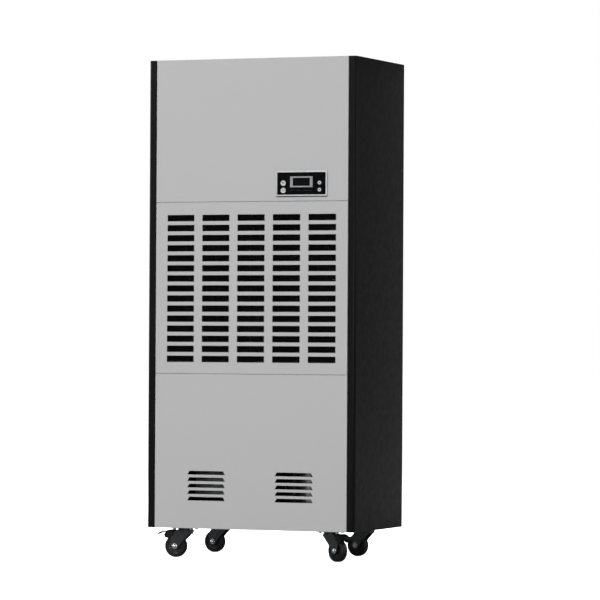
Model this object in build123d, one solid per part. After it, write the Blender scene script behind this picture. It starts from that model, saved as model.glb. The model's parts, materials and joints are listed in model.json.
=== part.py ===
"""Commercial refrigerant dehumidifier: a tall sheet-metal cabinet on four swivel casters.

Air enters through the slotted grille and filter in the middle of the front, crosses the
evaporator and the condenser, rises behind them and leaves through a blower and a grille in
the top.  The compressor and the electrical box stand in the bay behind the lower front panel.

Millimetres.  +Z is up, the front faces -Y and +X is to the right as seen from the front.
The origin is on the floor, at the centre of the footprint of the whole machine.
"""

import math
import os

from build123d import *

# ---------------------------------------------------------------- driving dimensions
WIDTH = 740.0  # cabinet, left to right
DEPTH = 440.0  # cabinet, front to back
CABINET_HEIGHT = 1550.0
CASTER_HEIGHT = 100.0  # floor to the underside of the cabinet
FRONT_REACH = 5.0  # how far the push buttons stand in front of the cabinet
REAR_REACH = 30.0  # how far the drain spigot stands behind it

SHEET = 1.5  # cabinet sheet
CORNER_RADIUS = 9.0  # rounded front corners of the side panels
FLANGE = 27.2  # width of each side panel seen from the front
PANEL_DEPTH = 14.0  # folded edges of the front panels
PANEL_GAP = 0.6  # play between the front panels and the side panels
SEAM = 1.0  # gap between two front panels
LOWER_SEAM = 611.2  # height of the seam above the lower front panel
UPPER_SEAM = 1178.5  # height of the seam above the grille panel

HALF_WIDTH = WIDTH / 2
INSIDE = HALF_WIDTH - SHEET
BOTTOM = CASTER_HEIGHT
TOP = CASTER_HEIGHT + CABINET_HEIGHT
FRONT = -(DEPTH + REAR_REACH - FRONT_REACH) / 2
PANEL_HALF = HALF_WIDTH - FLANGE - PANEL_GAP

# grille slots and lower louvres
SLOT_WIDTH, SLOT_HEIGHT = 97.0, 21.0
SLOT_PITCH_X, SLOT_PITCH_Z = 126.2, 33.27
SLOT_COLUMNS, SLOT_ROWS = 5, 15
SLOT_DROP = 1.9  # how far the slots sit below the middle of their panel
LOUVRE_BASE, LOUVRE_TOP, LOUVRE_HEIGHT = 135.0, 121.0, 12.6
LOUVRE_PITCH, LOUVRE_COUNT = 21.4, 5
LOUVRE_X, LOUVRE_Z = 156.5, 241.5
LOUVRE_TAB_ANGLE = 72.0  # how far each tab is bent inwards

# controller
CONTROL_X, CONTROL_Z = 179.5, 1236.2
CONTROL_WIDTH, CONTROL_HEIGHT = 181.0, 83.0
CONTROL_PROUD = 4.0
BEZEL_RIM = 5.0
FACE_RECESS = 0.8
DISPLAY_DX, DISPLAY_DZ = -0.2, 5.3  # display centre from the controller's centre
DISPLAY_WIDTH, DISPLAY_HEIGHT = 60.0, 26.2
DISPLAY_FRAME_WIDTH, DISPLAY_FRAME_HEIGHT = 79.5, 35.4
BUTTONS = {  # name: (dx, dz, radius)
    "button_power": (-64.0, -22.4, 8.8),
    "button_mode": (-64.0, 1.4, 8.8),
    "button_up": (63.8, 2.0, 6.0),
    "button_down": (63.8, -21.0, 6.0),
}

# inside
RAIL_DEPTH, RAIL_HEIGHT, RAIL_SHEET = 24.0, 30.0, 2.0
DECK_SHEET = 2.0
COIL_LEFT, COIL_RIGHT = -325.0, 270.0
COIL_BOTTOM, COIL_TOP = 646.0, 1158.0
COIL_DEPTH = 55.0
EVAPORATOR_Y, CONDENSER_Y = FRONT + 102.0, FRONT + 178.0
FIN_PITCH, FIN_SHEET = 11.8, 0.5
TUBE_RADIUS, TUBE_PITCH, TUBE_COUNT, ROW_PITCH = 4.8, 42.0, 12, 26.0
COMPRESSOR_X, COMPRESSOR_Y = 120.0, FRONT + 235.0
COMPRESSOR_RADIUS, COMPRESSOR_BASE, COMPRESSOR_TOP = 85.0, 124.0, 450.0
FAN_Y, FAN_Z = FRONT + 235.0, 1405.0
IMPELLER_RADIUS, IMPELLER_INNER, IMPELLER_HALF = 112.0, 92.0, 122.0
BLADES = 36
HOUSING_HALF, HOUSING_SHEET, INLET_RADIUS = 132.0, 1.2, 95.0
OUTLET_FRONT, OUTLET_BACK = FRONT + 262.0, FRONT + 425.0
OUTLET_TOP = TOP - 14.0
SPIGOT_X, SPIGOT_Z, SPIGOT_RADIUS, SPIGOT_BORE = 300.0, 170.0, 9.0, 6.5
GLAND_X, GLAND_Z, GLAND_BORE, GLAND_THREAD = -210.0, 166.0, 7.5, 12.4

# casters
CASTER_X, FRONT_INSET, REAR_INSET = 261.0, 71.0, 55.0
WHEEL_RADIUS, WHEEL_HALF, HUB_RADIUS = 37.0, 12.0, 28.0
TRAIL = 33.0  # swivel axis to wheel axis
AXLE_RADIUS, RUNNING_CLEARANCE = 4.0, 0.05
FORK_INNER, FORK_SHEET, FORK_HEAD_RADIUS = 13.5, 2.5, 26.0
KINGPIN_RADIUS = 6.0
PLATE_LENGTH, PLATE_WIDTH, PLATE_SHEET = 77.0, 64.0, 3.0
BOLT_DX, BOLT_DY, BOLT_RADIUS = 30.0, 23.0, 3.0
PEDAL_PIVOT_S, PEDAL_PIVOT_Z, PEDAL_PIN_RADIUS = 44.0, 78.0, 2.5
PEDAL_HALF, PEDAL_SHEET = 18.6, 1.8
CASTERS = {  # name: (side, end, direction in which the wheel trails, has a brake)
    "front_left": (-1, -1, 184.4, True),
    "front_right": (1, -1, -27.0, True),
    "rear_left": (-1, 1, 172.0, False),
    "rear_right": (1, 1, 167.0, False),
}


# ---------------------------------------------------------------- helpers
def block(x0, x1, y0, y1, z0, z1):
    """A box between two corners."""
    return Pos((x0 + x1) / 2, (y0 + y1) / 2, (z0 + z1) / 2) * Box(x1 - x0, y1 - y0, z1 - z0)


def rod(start, axis, length, radius):
    """A cylinder that starts at a point and runs along +X, +Y or +Z."""
    turn = {"x": Rot(0, 90, 0), "y": Rot(-90, 0, 0), "z": Rot(0, 0, 0)}[axis]
    align = (Align.CENTER, Align.CENTER, Align.MIN)
    return Pos(*start) * turn * Cylinder(radius, length, align=align)


def tube(start, axis, length, outer, inner):
    return rod(start, axis, length, outer) - rod(start, axis, length, inner)


def hexagon(start, axis, length, across_flats):
    """A hexagonal prism that starts at a point and runs along +X, +Y or +Z."""
    turn = {"x": Rot(0, 90, 0), "y": Rot(-90, 0, 0), "z": Rot(0, 0, 0)}[axis]
    prism = extrude(RegularPolygon(across_flats / math.sqrt(3), 6), length)
    return Pos(*start) * turn * prism


def tray(x0, x1, y0, y1, z0, z1, sheet, open_side):
    """A folded sheet tray: a box with one open side."""
    grow = {side: sheet for side in ("front", "back", "top", "bottom")}
    grow[open_side] = -1.0
    hollow = block(
        x0 + sheet, x1 - sheet,
        y0 + grow["front"], y1 - grow["back"],
        z0 + grow["bottom"], z1 - grow["top"],
    )
    return block(x0, x1, y0, y1, z0, z1) - hollow


def pipe(points, radius, bend, wall=0.0):
    """A round pipe along straight runs joined by tangent bends."""
    path = FilletPolyline(*points, radius=bend)
    section = Circle(radius) - Circle(radius - wall) if wall else Circle(radius)
    return sweep(path.location_at(0) * section, path=path)


def depth(value):
    """The y of a point that lies so far behind the cabinet's front."""
    return FRONT + value


# ---------------------------------------------------------------- cabinet
def side_panel(side):
    """Folded side panel: rear flange, wall, rounded corner, front flange and return."""
    half = SHEET / 2
    wall, edge = HALF_WIDTH - half, HALF_WIDTH - FLANGE + half
    fold = 2.0 + half
    points = [
        (side * (HALF_WIDTH - 22.0), depth(DEPTH - SHEET - half)),
        (side * wall, depth(DEPTH - SHEET - half)),
        (side * wall, depth(half)),
        (side * edge, depth(half)),
        (side * edge, depth(13.5)),
    ]
    line = FilletPolyline(*points, radius=[fold, CORNER_RADIUS - half, fold])
    profile = Pos(0, 0, BOTTOM) * trace(line, SHEET)
    panel = extrude(profile, CABINET_HEIGHT, dir=(0, 0, 1))
    for z in BACK_SCREW_HEIGHTS:
        panel -= rod((side * BACK_SCREW_X, depth(DEPTH - 6), z), "y", 8, 2.0)
    return panel


def top_panel():
    """Top cover with turned-down edges and the opening for the outlet grille."""
    cover = tray(
        -INSIDE + 0.5, INSIDE - 0.5, depth(PANEL_DEPTH + 0.6), depth(DEPTH - 2 * SHEET - 0.5),
        TOP - 20, TOP, SHEET, "bottom",
    )
    for side in (-1, 1):
        inner, outer = side * (HALF_WIDTH - FLANGE + SHEET + 0.4), side * (INSIDE - 0.5)
        ear = block(
            min(inner, outer), max(inner, outer),
            depth(SHEET + 0.4), depth(PANEL_DEPTH + 2), TOP - SHEET, TOP,
        )
        corner = ear.edges().filter_by(Axis.Z).group_by(Axis.Y)[0].sort_by(Axis.X)[side > 0 and -1]
        cover += fillet(corner, CORNER_RADIUS - SHEET / 2)
    return cover - block(
        -HOUSING_HALF, HOUSING_HALF, OUTLET_FRONT, OUTLET_BACK, TOP - 5, TOP + 1
    )


def outlet_grille():
    """Grille hung under the top cover, with slanting blades in the opening."""
    x, y0, y1 = HOUSING_HALF - 0.5, OUTLET_FRONT + 0.5, OUTLET_BACK - 0.5
    lip, under = 9.0, TOP - SHEET
    flange = block(-x - lip, x + lip, y0 - lip, y1 + lip, under - 2.0, under)
    collar = block(-x, x, y0, y1, under - 11.0, TOP)
    hole = block(-x + 2, x - 2, y0 + 2, y1 - 2, under - 20.0, TOP + 1)
    frame = flange + collar - hole
    count = 10
    pitch = (y1 - y0 - 4) / count
    blade = Rot(35, 0, 0) * Box(2 * x - 3, 1.2, 12.0)
    for i in range(count):
        frame += Pos(0, y0 + 2 + pitch * (i + 0.5), TOP - 6.2) * blade
    return frame


def base_pan():
    """Chassis tray that carries the compressor and the casters."""
    pan = tray(
        -INSIDE + 1, INSIDE - 1, depth(PANEL_DEPTH + 3), depth(DEPTH - 4),
        BOTTOM, BOTTOM + 40, DECK_SHEET, "top",
    )
    for x, y in caster_bolt_places():
        pan -= rod((x, y, BOTTOM - 1), "z", 5, BOLT_RADIUS + 0.2)
    for x, y in compressor_feet():
        pan -= rod((x, y, BOTTOM - 1), "z", 5, FOOT_BOLT_RADIUS + 0.2)
    return pan


BACK_SCREW_X = HALF_WIDTH - 11.0
BACK_SCREW_HEIGHTS = [BOTTOM + 45 + i * (CABINET_HEIGHT - 90) / 6 for i in range(7)]


def back_panel():
    """Flat rear cover, screwed on the side panels' rear flanges."""
    panel = block(
        -HALF_WIDTH + 2, HALF_WIDTH - 2, depth(DEPTH - SHEET), depth(DEPTH), BOTTOM, TOP - 0.5
    )
    for side in (-1, 1):
        for z in BACK_SCREW_HEIGHTS:
            panel -= rod((side * BACK_SCREW_X, depth(DEPTH - 3), z), "y", 6, 2.0)
    panel -= rod((SPIGOT_X, depth(DEPTH - 3), SPIGOT_Z), "y", 6, SPIGOT_RADIUS + 0.2)
    return panel - rod((GLAND_X, depth(DEPTH - 3), GLAND_Z), "y", 6, GLAND_THREAD + 0.1)


def back_screws():
    """Fourteen pan-head screws."""
    screws = []
    for side in (-1, 1):
        for z in BACK_SCREW_HEIGHTS:
            x = side * BACK_SCREW_X
            head = rod((x, depth(DEPTH), z), "y", 2.4, 4.2)
            head = fillet(head.edges().sort_by(Axis.Y)[-1], 1.4)
            slot = Pos(x, depth(DEPTH + 2.4), z) * (Box(4.6, 1.6, 1.0) + Box(1.0, 1.6, 4.6))
            screws.append(head + rod((x, depth(DEPTH - 8), z), "y", 8, 1.98) - slot)
    return Compound(screws)


# ---------------------------------------------------------------- front panels
def front_panel(z0, z1):
    """Folded front panel with softly rounded front edges."""
    panel = tray(
        -PANEL_HALF, PANEL_HALF, FRONT, depth(PANEL_DEPTH), z0, z1, SHEET, "back"
    )
    face = panel.faces().sort_by(Axis.Y)[0]
    return fillet(face.outer_wire().edges(), 1.2)


def grille_panel():
    """Middle front panel: five columns of slots, and two channels that hold the filter."""
    panel = front_panel(LOWER_SEAM + SEAM / 2, UPPER_SEAM - SEAM / 2)
    middle = (LOWER_SEAM + UPPER_SEAM) / 2 - SLOT_DROP
    slots = [
        Pos(
            (column - (SLOT_COLUMNS - 1) / 2) * SLOT_PITCH_X,
            FRONT,
            middle + (row - (SLOT_ROWS - 1) / 2) * SLOT_PITCH_Z,
        )
        * Box(SLOT_WIDTH, 8, SLOT_HEIGHT)
        for column in range(SLOT_COLUMNS)
        for row in range(SLOT_ROWS)
    ]
    panel -= slots
    for side in (-1, 1):
        foot = block(
            min(side * 331, side * 339), max(side * 331, side * 339),
            depth(SHEET), depth(13.0), LOWER_SEAM + 15, UPPER_SEAM - 15,
        )
        lip = block(
            min(side * 318, side * 332), max(side * 318, side * 332),
            depth(11.5), depth(13.0), LOWER_SEAM + 15, UPPER_SEAM - 15,
        )
        foot -= block(
            min(side * 330, side * 337.5), max(side * 330, side * 337.5),
            depth(SHEET + 1.5), depth(11.5), LOWER_SEAM, UPPER_SEAM,
        )
        panel += foot + lip
    return panel


def louvre_places():
    """Centre of each louvre's lower edge, (x, z)."""
    for side in (-1, 1):
        for row in range(LOUVRE_COUNT):
            z = LOUVRE_Z + (row - (LOUVRE_COUNT - 1) / 2) * LOUVRE_PITCH - LOUVRE_HEIGHT / 2
            yield side * LOUVRE_X, z


def lower_front_panel():
    """Lower front panel with two groups of louvres, their tabs bent inwards."""
    panel = front_panel(BOTTOM, LOWER_SEAM - SEAM / 2)
    outline = make_face(
        Polyline(
            (-LOUVRE_BASE / 2, 0), (LOUVRE_BASE / 2, 0),
            (LOUVRE_TOP / 2, LOUVRE_HEIGHT), (-LOUVRE_TOP / 2, LOUVRE_HEIGHT),
            close=True,
        )
    )
    hole = Pos(0, 10, 0) * Rot(90, 0, 0) * extrude(outline, 20)
    tab_face = Pos(0, -LOUVRE_HEIGHT, 0) * outline
    tab = Rot(90 - LOUVRE_TAB_ANGLE, 0, 0) * Rot(180, 0, 0) * extrude(tab_face, 1.2)
    for x, z in louvre_places():
        panel -= Pos(x, FRONT, z) * hole
    for x, z in louvre_places():
        panel += Pos(x, FRONT + 1.0, z + LOUVRE_HEIGHT + 0.6) * tab
    return panel


def upper_front_panel():
    """Upper front panel with the window for the controller."""
    panel = front_panel(UPPER_SEAM + SEAM / 2, TOP)
    window = Box(CONTROL_WIDTH - 6, 10, CONTROL_HEIGHT - 6)
    return panel - Pos(CONTROL_X, FRONT, CONTROL_Z) * window


# ---------------------------------------------------------------- filter
def filter_frame():
    """Plastic frame that slides in the grille panel's two channels."""
    x, z0, z1 = 336.5, LOWER_SEAM + 17, UPPER_SEAM - 17
    y0, y1 = depth(3.4), depth(11.0)
    frame = block(-x, x, y0, y1, z0, z1) - block(-x + 14, x - 14, y0 - 1, y1 + 1, z0 + 14, z1 - 14)
    for i in range(1, 4):
        rib = -x + i * 2 * x / 4
        frame += block(rib - 2, rib + 2, y0 + 3, y1, z0 + 10, z1 - 10)
    for i in range(1, 3):
        rib = z0 + i * (z1 - z0) / 3
        frame += block(-x + 10, x - 10, y0 + 3, y1, rib - 2, rib + 2)
    return frame


def filter_mesh():
    """Woven mesh in front of the frame's ribs, shown as one thin sheet."""
    return block(-322, 322, depth(5.6), depth(6.4), LOWER_SEAM + 31.5, UPPER_SEAM - 31.5)


# ---------------------------------------------------------------- controller
def control_bezel():
    """Moulded rim around the controller, with a hollow body behind the panel."""
    half_w, half_h = CONTROL_WIDTH / 2, CONTROL_HEIGHT / 2
    rim = Pos(CONTROL_X, FRONT - CONTROL_PROUD / 2, CONTROL_Z) * Box(
        CONTROL_WIDTH, CONTROL_PROUD, CONTROL_HEIGHT
    )
    rim = fillet(rim.edges().filter_by(Axis.Y), 3.0)
    rim = fillet(rim.faces().sort_by(Axis.Y)[0].outer_wire().edges(), 1.4)
    body = block(
        CONTROL_X - half_w + 4, CONTROL_X + half_w - 4, FRONT, depth(34.0),
        CONTROL_Z - half_h + 4, CONTROL_Z + half_h - 4,
    )
    hollow = block(
        CONTROL_X - half_w + 6, CONTROL_X + half_w - 6, FRONT + 1.0, depth(32.0),
        CONTROL_Z - half_h + 6, CONTROL_Z + half_h - 6,
    )
    seat = block(
        CONTROL_X - half_w + BEZEL_RIM, CONTROL_X + half_w - BEZEL_RIM,
        FRONT - CONTROL_PROUD - 1, FRONT + 2,
        CONTROL_Z - half_h + BEZEL_RIM, CONTROL_Z + half_h - BEZEL_RIM,
    )
    return rim + body - hollow - seat


def control_face():
    """Glossy face plate with holes for the display and the four buttons."""
    x, z = CONTROL_WIDTH / 2 - BEZEL_RIM, CONTROL_HEIGHT / 2 - BEZEL_RIM
    y0 = FRONT - CONTROL_PROUD + FACE_RECESS
    face = block(CONTROL_X - x, CONTROL_X + x, y0, y0 + 2.5, CONTROL_Z - z, CONTROL_Z + z)
    window = Box(DISPLAY_WIDTH, 10, DISPLAY_HEIGHT)
    face -= Pos(CONTROL_X + DISPLAY_DX, y0, CONTROL_Z + DISPLAY_DZ) * window
    for dx, dz, radius in BUTTONS.values():
        face -= rod((CONTROL_X + dx, y0 - 1, CONTROL_Z + dz), "y", 6, radius + 0.25)
    return face


def display_frame():
    """Thin silver surround on the face plate."""
    y1 = FRONT - CONTROL_PROUD + FACE_RECESS
    frame = Box(DISPLAY_FRAME_WIDTH, 0.6, DISPLAY_FRAME_HEIGHT)
    window = Box(DISPLAY_WIDTH, 2, DISPLAY_HEIGHT)
    centre = Pos(CONTROL_X + DISPLAY_DX, y1 - 0.3, CONTROL_Z + DISPLAY_DZ)
    return centre * frame - centre * window


def display_window():
    """Clear window over the display."""
    y0 = FRONT - CONTROL_PROUD + FACE_RECESS + 0.2
    return Pos(CONTROL_X + DISPLAY_DX, y0 + 1.0, CONTROL_Z + DISPLAY_DZ) * Box(
        DISPLAY_WIDTH - 0.2, 2.0, DISPLAY_HEIGHT - 0.2
    )


def button(name):
    """Push button: a slightly domed cap with a collar behind the face plate."""
    dx, dz, radius = BUTTONS[name]
    x, z = CONTROL_X + dx, CONTROL_Z + dz
    cap = rod((x, FRONT - FRONT_REACH, z), "y", 5.4, radius)
    cap = fillet(cap.edges().sort_by(Axis.Y)[0], 0.9)
    collar = rod((x, FRONT - CONTROL_PROUD + FACE_RECESS + 2.7, z), "y", 1.5, radius + 1.2)
    return cap + collar


def control_board():
    """Circuit board with the display module and one tactile switch behind each button."""
    y0 = depth(10.0)
    board = Pos(CONTROL_X, y0 + 0.8, CONTROL_Z) * Box(CONTROL_WIDTH - 14, 1.6, CONTROL_HEIGHT - 14)
    display = Pos(CONTROL_X + DISPLAY_DX, y0 - 4.5, CONTROL_Z + DISPLAY_DZ) * Box(64, 9, 30)
    for dx, dz, _ in BUTTONS.values():
        x, z = CONTROL_X + dx, CONTROL_Z + dz
        board += rod((x, y0 - 7.0, z), "y", 7.0, 2.5)
        board += Pos(x, y0 - 2, z) * Box(7, 4, 7)
    return board + display


# ---------------------------------------------------------------- frame and decks
def cross_rails():
    """Two channels across the front, behind the seams of the front panels."""
    rails = []
    for seam in (LOWER_SEAM, UPPER_SEAM):
        z0 = seam - RAIL_HEIGHT / 2
        rails.append(
            tray(
                -INSIDE, INSIDE, depth(17.0), depth(17.0 + RAIL_DEPTH),
                z0, z0 + RAIL_HEIGHT, RAIL_SHEET, "back",
            )
        )
    return Compound(rails)


SHELF_Z = LOWER_SEAM + RAIL_HEIGHT / 2
FAN_DECK_Z = UPPER_SEAM + RAIL_HEIGHT / 2
DRAIN_X, DRAIN_Y = 284.0, FRONT + 205.0


def coil_shelf():
    """Deck between the compressor bay and the coil chamber."""
    deck = block(
        -INSIDE + 1, INSIDE - 1, depth(17), depth(DEPTH - 4), SHELF_Z, SHELF_Z + DECK_SHEET
    )
    deck -= block(306, 352, depth(60), depth(250), SHELF_Z - 1, SHELF_Z + 5)
    return deck - rod((DRAIN_X, DRAIN_Y, SHELF_Z - 1), "z", 5, 10.5)


def fan_deck():
    """Deck between the coil chamber and the blower bay, with the air passage at the rear."""
    deck = block(
        -INSIDE + 1, INSIDE - 1, depth(17), depth(DEPTH - 4), FAN_DECK_Z, FAN_DECK_Z + DECK_SHEET
    )
    return deck - block(-260, 260, depth(232), depth(418), FAN_DECK_Z - 1, FAN_DECK_Z + 5)


# ---------------------------------------------------------------- coils
def drip_tray():
    """Condensate tray under both coils, with its spout."""
    z0 = SHELF_Z + DECK_SHEET
    pan = tray(COIL_LEFT - 30, 302, depth(48), depth(238), z0, z0 + 26, SHEET, "top")
    pan += rod((DRAIN_X, DRAIN_Y, z0 - 40), "z", 41, 9.0)
    return pan - rod((DRAIN_X, DRAIN_Y, z0 - 45), "z", 50, 7.5)


def fins(y):
    """Fin plates of one coil, one solid each."""
    count = int((COIL_RIGHT - COIL_LEFT) // FIN_PITCH)
    start = (COIL_LEFT + COIL_RIGHT - (count - 1) * FIN_PITCH) / 2
    plate = Box(FIN_SHEET, COIL_DEPTH, COIL_TOP - COIL_BOTTOM)
    middle = (COIL_TOP + COIL_BOTTOM) / 2
    return Compound([Pos(start + i * FIN_PITCH, y, middle) * plate for i in range(count)])


def serpentine(y):
    """Two rows of copper tube that run to and fro through the fins."""
    rows = []
    bottom = (COIL_TOP + COIL_BOTTOM) / 2 - (TUBE_COUNT - 1) * TUBE_PITCH / 2
    left, right = COIL_LEFT - 24, COIL_RIGHT + 24
    for row_y in (y - ROW_PITCH / 2, y + ROW_PITCH / 2):
        points = [(COIL_RIGHT + 10, row_y, bottom)]
        for i in range(TUBE_COUNT - 1):
            x = left if i % 2 == 0 else right
            points += [(x, row_y, bottom + i * TUBE_PITCH), (x, row_y, bottom + (i + 1) * TUBE_PITCH)]
        points.append((COIL_RIGHT + 10, row_y, bottom + (TUBE_COUNT - 1) * TUBE_PITCH))
        rows.append(pipe(points, TUBE_RADIUS, TUBE_PITCH / 2 - 0.2))
    return Compound(rows)


def end_plates():
    """Galvanised plates that hold both ends of both coils."""
    plates = []
    bottom = (COIL_TOP + COIL_BOTTOM) / 2 - (TUBE_COUNT - 1) * TUBE_PITCH / 2
    for y in (EVAPORATOR_Y, CONDENSER_Y):
        for x in (COIL_LEFT - 3, COIL_RIGHT + 1.5):
            plate = block(x, x + 1.5, y - 29, y + 29, SHELF_Z + DECK_SHEET + 1.5, COIL_TOP + 8)
            for row_y in (y - ROW_PITCH / 2, y + ROW_PITCH / 2):
                for i in range(TUBE_COUNT):
                    hole = rod((x - 1, row_y, bottom + i * TUBE_PITCH), "x", 4, TUBE_RADIUS + 0.2)
                    plate -= hole
            plates.append(plate)
    return Compound(plates)


# ---------------------------------------------------------------- compressor and pipes
FOOT_CIRCLE, FOOT_BOLT_RADIUS = 104.0, 3.0
ACCUMULATOR_X, ACCUMULATOR_RADIUS = COMPRESSOR_X + 128.0, 32.0


def compressor_feet():
    """Places of the three rubber feet."""
    for angle in (90, 210, 330):
        turn = math.radians(angle)
        yield (
            COMPRESSOR_X + FOOT_CIRCLE * math.cos(turn),
            COMPRESSOR_Y + FOOT_CIRCLE * math.sin(turn),
        )


def compressor():
    """Hermetic shell with its foot plate and terminal cover."""
    shell = rod(
        (COMPRESSOR_X, COMPRESSOR_Y, COMPRESSOR_BASE),
        "z", COMPRESSOR_TOP - COMPRESSOR_BASE, COMPRESSOR_RADIUS,
    )
    shell = fillet(shell.edges().filter_by(GeomType.CIRCLE), 32.0)
    plate = rod((COMPRESSOR_X, COMPRESSOR_Y, COMPRESSOR_BASE - 2), "z", 4, 72)
    for x, y in compressor_feet():
        arm = Vector(x - COMPRESSOR_X, y - COMPRESSOR_Y)
        turn = math.degrees(math.atan2(arm.Y, arm.X))
        plate += (
            Pos(COMPRESSOR_X, COMPRESSOR_Y, COMPRESSOR_BASE)
            * Rot(0, 0, turn)
            * Pos(FOOT_CIRCLE / 2, 0, 0)
            * Box(FOOT_CIRCLE, 36, 4)
        )
        plate += rod((x, y, COMPRESSOR_BASE - 2), "z", 4, 18)
    for x, y in compressor_feet():
        plate -= rod((x, y, COMPRESSOR_BASE - 3), "z", 6, 6.2)
    cover = Pos(COMPRESSOR_X, COMPRESSOR_Y - COMPRESSOR_RADIUS - 6, 350) * Box(58, 40, 62)
    cover = fillet(cover.edges().filter_by(Axis.Y), 8)
    stub = rod((COMPRESSOR_X, COMPRESSOR_Y, COMPRESSOR_TOP - 4), "z", 26, 8.0)
    return shell + plate + cover + stub


def compressor_grommets():
    """Three rubber grommets under and through the compressor's feet."""
    parts = []
    for x, y in compressor_feet():
        low = rod((x, y, BOTTOM + DECK_SHEET), "z", COMPRESSOR_BASE - 4 - BOTTOM, 13.0)
        neck = rod((x, y, COMPRESSOR_BASE - 3), "z", 6, 6.0)
        cap = rod((x, y, COMPRESSOR_BASE + 2), "z", 5, 10.0)
        parts.append(low + neck + cap - rod((x, y, BOTTOM), "z", 60, FOOT_BOLT_RADIUS + 0.1))
    return Compound(parts)


def foot_bolts():
    """Studs, washers and nuts that hold the compressor down."""
    parts = []
    for x, y in compressor_feet():
        stud = rod((x, y, BOTTOM - 0.5), "z", 46, FOOT_BOLT_RADIUS)
        head = rod((x, y, BOTTOM - 2.5), "z", 2.5, 6.5)
        washer = rod((x, y, COMPRESSOR_BASE + 7), "z", 1.5, 9.0)
        nut = hexagon((x, y, COMPRESSOR_BASE + 8.5), "z", 5, 10)
        parts.append(stud + head + washer + nut)
    return Compound(parts)


def accumulator():
    """Suction accumulator with its outlet elbow and the strap to the shell."""
    can = rod((ACCUMULATOR_X, COMPRESSOR_Y, 210), "z", 190, ACCUMULATOR_RADIUS)
    can = fillet(can.edges().filter_by(GeomType.CIRCLE), 20.0)
    inlet = rod((ACCUMULATOR_X, COMPRESSOR_Y, 396), "z", 24, 9.0)
    end_x = COMPRESSOR_X + COMPRESSOR_RADIUS
    elbow = pipe(
        [
            (ACCUMULATOR_X, COMPRESSOR_Y, 214),
            (ACCUMULATOR_X, COMPRESSOR_Y, 176),
            (end_x, COMPRESSOR_Y, 176),
        ],
        9.0, 18.0,
    )
    strap = block(
        end_x, ACCUMULATOR_X - ACCUMULATOR_RADIUS + 3,
        COMPRESSOR_Y - 14, COMPRESSOR_Y + 14, 330, 334,
    )
    return can + inlet + elbow + strap


PIPE_X = 328.0  # the pipes rise through the shelf's cut-out here


def coil_end(y, row, level):
    """Open end of a coil row: row 0 is nearer the front; level 0 is the lowest tube."""
    bottom = (COIL_TOP + COIL_BOTTOM) / 2 - (TUBE_COUNT - 1) * TUBE_PITCH / 2
    return (COIL_RIGHT + 10, y + (row - 0.5) * ROW_PITCH, bottom + level * TUBE_PITCH)


def discharge_pipe():
    """Hot gas line from the compressor's top to the condenser's highest tube."""
    x, y, z = coil_end(CONDENSER_Y, 1, TUBE_COUNT - 1)
    rise = COMPRESSOR_TOP + 22
    return pipe(
        [
            (COMPRESSOR_X, COMPRESSOR_Y, rise),
            (COMPRESSOR_X, COMPRESSOR_Y, rise + 70),
            (PIPE_X, COMPRESSOR_Y, rise + 70),
            (PIPE_X, y, rise + 130),
            (PIPE_X, y, z),
            (x, y, z),
        ],
        6.35, 20.0, 0.8,
    )


def suction_pipe():
    """Cold gas line from the evaporator's lowest tube to the accumulator."""
    x, y, z = coil_end(EVAPORATOR_Y, 0, TUBE_COUNT - 1)
    return pipe(
        [
            (x, y, z),
            (PIPE_X, y, z),
            (PIPE_X, y, 560),
            (ACCUMULATOR_X, COMPRESSOR_Y, 480),
            (ACCUMULATOR_X, COMPRESSOR_Y, 420),
        ],
        8.0, 14.0, 1.0,
    )


DRIER_Z0, DRIER_Z1, DRIER_RADIUS = 760.0, 880.0, 12.0


def filter_drier():
    """Copper filter drier in the liquid line."""
    x, y, _ = coil_end(CONDENSER_Y, 0, 0)
    body = rod((PIPE_X, y, DRIER_Z0), "z", DRIER_Z1 - DRIER_Z0, DRIER_RADIUS)
    return fillet(body.edges().filter_by(GeomType.CIRCLE), 8.0)


def liquid_pipe():
    """Liquid line from the condenser's lowest tube to the drier, then on to the evaporator."""
    x, y, z = coil_end(CONDENSER_Y, 0, 0)
    lower = pipe([(x, y, z), (PIPE_X, y, z), (PIPE_X, y, DRIER_Z0)], 4.8, 16.0, 0.7)
    ex, ey, ez = coil_end(EVAPORATOR_Y, 1, 0)
    upper = pipe(
        [
            (PIPE_X, y, DRIER_Z1),
            (PIPE_X, y, DRIER_Z1 + 50),
            (PIPE_X, ey, DRIER_Z1 + 50),
            (PIPE_X, ey, ez),
            (ex, ey, ez),
        ],
        3.2, 14.0,
    )
    return Compound([lower, upper])


# ---------------------------------------------------------------- blower
def scroll_face(grow):
    """Outline of the blower scroll, from quarter ellipses of growing radius."""
    top, front, bottom, rear = 125 + grow, 143 + grow, 165 + grow, OUTLET_BACK - FAN_Y + grow
    inner_wall = OUTLET_FRONT - FAN_Y - grow
    height = OUTLET_TOP - FAN_Z
    lines = [
        Line((inner_wall, height), (inner_wall, top)),
        Line((inner_wall, top), (0, top)),
        EllipticalCenterArc((0, 0), front, top, 90, arc_size=90),
        EllipticalCenterArc((0, 0), front, bottom, 180, arc_size=90),
        EllipticalCenterArc((0, 0), rear, bottom, 270, arc_size=90),
        Line((rear, 0), (rear, height)),
        Line((rear, height), (inner_wall, height)),
    ]
    return make_face(Curve() + lines)


def in_fan_plane(shape, x):
    """Moves a shape drawn in (depth, height) about the fan's axis to the plane at x."""
    return Pos(x, FAN_Y, FAN_Z) * (Plane.YZ * shape)


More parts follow.
